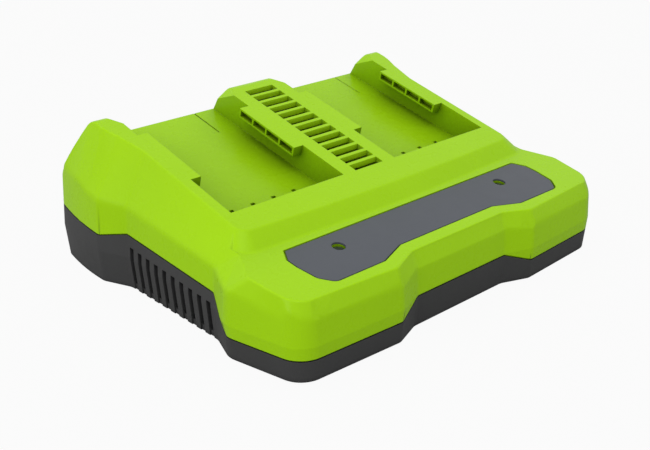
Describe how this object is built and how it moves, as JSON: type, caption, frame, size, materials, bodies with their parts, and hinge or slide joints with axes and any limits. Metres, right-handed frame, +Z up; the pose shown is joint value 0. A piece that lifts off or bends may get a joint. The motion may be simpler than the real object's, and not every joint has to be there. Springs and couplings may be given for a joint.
{
  "type": "battery charger",
  "caption": "Tabletop charger with side-by-side sloping slide-in bays for power tool batteries, a vented base, indicator windows and an internal cooling fan.",
  "frame": {"origin": "middle of the footprint, on the surface that the feet stand on", "axes": "+Z up, +Y to the back, where the bays are open, +X to the right seen from the front"},
  "size_m": [0.2028, 0.1719, 0.0696],
  "materials": {
    "green_plastic": "fine satin moulding",
    "grey_panel": "satin",
    "black_plastic": "fine matte moulding",
    "insulator": "matte",
    "contact_metal": "plated",
    "clear_plastic": "clear, polished",
    "led_lens": "diffused",
    "board_laminate": "solder mask",
    "screw_steel": "zinc plated",
    "rubber": "soft matte",
    "fan_plastic": "matte",
    "bearing_brass": "sintered",
    "copper_coil": "lacquered copper wire",
    "shaft_steel": "ground",
    "ferrite": "sintered ferrite",
    "winding_tape": "polyester tape",
    "aluminium": "extruded",
    "capacitor_sleeve": "shrink sleeve",
    "fuse_glass": "clear"
  },
  "bodies": {
    "housing": {"top_cover": "green_plastic", "label_panel": "grey_panel", "base_shell": "black_plastic", "rubber_feet": "rubber", "case_screws": "screw_steel", "main_circuit_board": "board_laminate", "board_screws": "screw_steel", "terminal_block_left": "insulator", "terminal_block_right": "insulator", "terminal_blades_left": "contact_metal", "terminal_blades_right": "contact_metal", "light_pipe_left": "clear_plastic", "light_pipe_right": "clear_plastic", "status_led_left": "led_lens", "status_led_right": "led_lens", "fan_frame": "fan_plastic", "fan_bearing": "bearing_brass", "fan_stator": "copper_coil", "fan_screws": "screw_steel", "transformer_core_left": "ferrite", "transformer_core_right": "ferrite", "transformer_winding_left": "winding_tape", "transformer_winding_right": "winding_tape", "heatsink_left": "aluminium", "heatsink_right": "aluminium", "power_transistors_left": "insulator", "power_transistors_right": "insulator", "bulk_capacitors": "capacitor_sleeve", "output_capacitors": "capacitor_sleeve", "mains_filter_choke": "copper_coil", "mains_fuse": "fuse_glass", "fuse_clips": "contact_metal", "bridge_rectifier": "insulator", "control_chips": "insulator", "mains_inlet": "insulator", "inlet_pins": "contact_metal"},
    "fan_rotor_body": {"fan_rotor": "fan_plastic", "fan_shaft": "shaft_steel"}
  },
  "joints": [
    {"name": "fan_spin", "type": "hinge", "parent": "housing", "child": "fan_rotor_body", "pos_m": [0, 0.0126, 0.0271], "axis": [0, 0, 1], "continuous": true}
  ]
}
